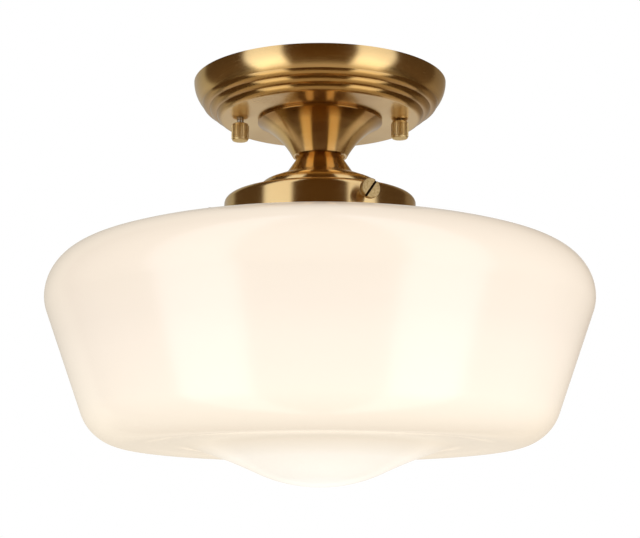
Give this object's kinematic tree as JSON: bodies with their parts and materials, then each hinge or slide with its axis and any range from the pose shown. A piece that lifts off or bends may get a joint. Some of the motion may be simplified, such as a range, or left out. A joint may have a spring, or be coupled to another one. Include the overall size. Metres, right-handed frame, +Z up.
{
  "type": "semi flush ceiling light",
  "caption": "Round satin brass ceiling light: a beaded canopy and trumpet stem carry a wide opal glass shade with a low dome below.",
  "frame": {"origin": "centre of the canopy's rim, in the plane of the ceiling", "axes": "+Z points up into the ceiling, -Y is the front, the two mounting studs stand on the X axis"},
  "size_m": [0.2997, 0.2996, 0.2261],
  "materials": {
    "canopy_brass": "satin brushed, lacquered",
    "stem_brass": "satin polished",
    "holder_brass": "satin brushed, lacquered",
    "nut_brass": "knurled satin",
    "thumb_brass": "turned, light satin",
    "opal_glass": "blown opal glass, gloss outside",
    "zinc_steel": "zinc plated",
    "green_steel": "green passivated",
    "porcelain": "glazed porcelain",
    "shell_alloy": "rolled thread",
    "contact_brass": "bright contact",
    "connector_plastic": "moulded",
    "lead_black": "insulated wire",
    "lead_white": "insulated wire",
    "lead_green": "insulated wire",
    "lamp_insulator": "moulded",
    "lamp_white": "moulded white",
    "lamp_frost": "frosted white"
  },
  "bodies": {
    "fixture": {"canopy": "canopy_brass", "stem_cone": "stem_brass", "shade_holder": "holder_brass", "crossbar": "zinc_steel", "mounting_studs": "zinc_steel", "stud_nuts": "zinc_steel", "ground_screw": "green_steel", "threaded_tube": "zinc_steel", "upper_washer": "zinc_steel", "upper_nut": "zinc_steel", "lower_washer": "zinc_steel", "lower_nut": "zinc_steel", "socket_strap": "zinc_steel", "socket_screws": "zinc_steel", "socket_body": "porcelain", "socket_shell": "shell_alloy", "socket_contact": "contact_brass", "wire_connectors": "connector_plastic", "lead_black": "lead_black", "lead_white": "lead_white", "lead_ground": "lead_green"},
    "left_cap_nut": {"cap_nut_left": "nut_brass"},
    "right_cap_nut": {"cap_nut_right": "nut_brass"},
    "front_thumb_screw": {"thumb_screw_front": "thumb_brass"},
    "rear_thumb_screw": {"thumb_screw_rear": "thumb_brass"},
    "left_thumb_screw": {"thumb_screw_left": "thumb_brass"},
    "shade": {"glass_lip": "opal_glass", "glass_neck": "opal_glass", "glass_shade": "opal_glass"},
    "lamp": {"lamp_tip": "contact_brass", "lamp_insulator": "lamp_insulator", "lamp_base": "shell_alloy", "lamp_housing": "lamp_white", "lamp_diffuser": "lamp_frost"}
  },
  "joints": [
    {"name": "shade_drop", "type": "slide", "parent": "fixture", "child": "shade", "axis": [0, 0, -1], "range_m": [0, 0.15]},
    {"name": "lamp_travel", "type": "slide", "parent": "fixture", "child": "lamp", "axis": [0, 0, -1], "range_m": [0, 0.028]},
    {"name": "left_cap_nut_travel", "type": "slide", "parent": "fixture", "child": "left_cap_nut", "axis": [0, 0, -1], "range_m": [-0.0018, 0.009]},
    {"name": "right_cap_nut_travel", "type": "slide", "parent": "fixture", "child": "right_cap_nut", "axis": [0, 0, -1], "range_m": [-0.0005, 0.009]},
    {"name": "front_thumb_screw_travel", "type": "slide", "parent": "fixture", "child": "front_thumb_screw", "axis": [0.4226, -0.9063, 0], "range_m": [-0.0052, 0.0016]},
    {"name": "rear_thumb_screw_travel", "type": "slide", "parent": "fixture", "child": "rear_thumb_screw", "axis": [0.5948, 0.8039, 0], "range_m": [-0.0052, 0.0016]},
    {"name": "left_thumb_screw_travel", "type": "slide", "parent": "fixture", "child": "left_thumb_screw", "axis": [-0.989, 0.1478, 0], "range_m": [-0.0052, 0.0016]}
  ]
}
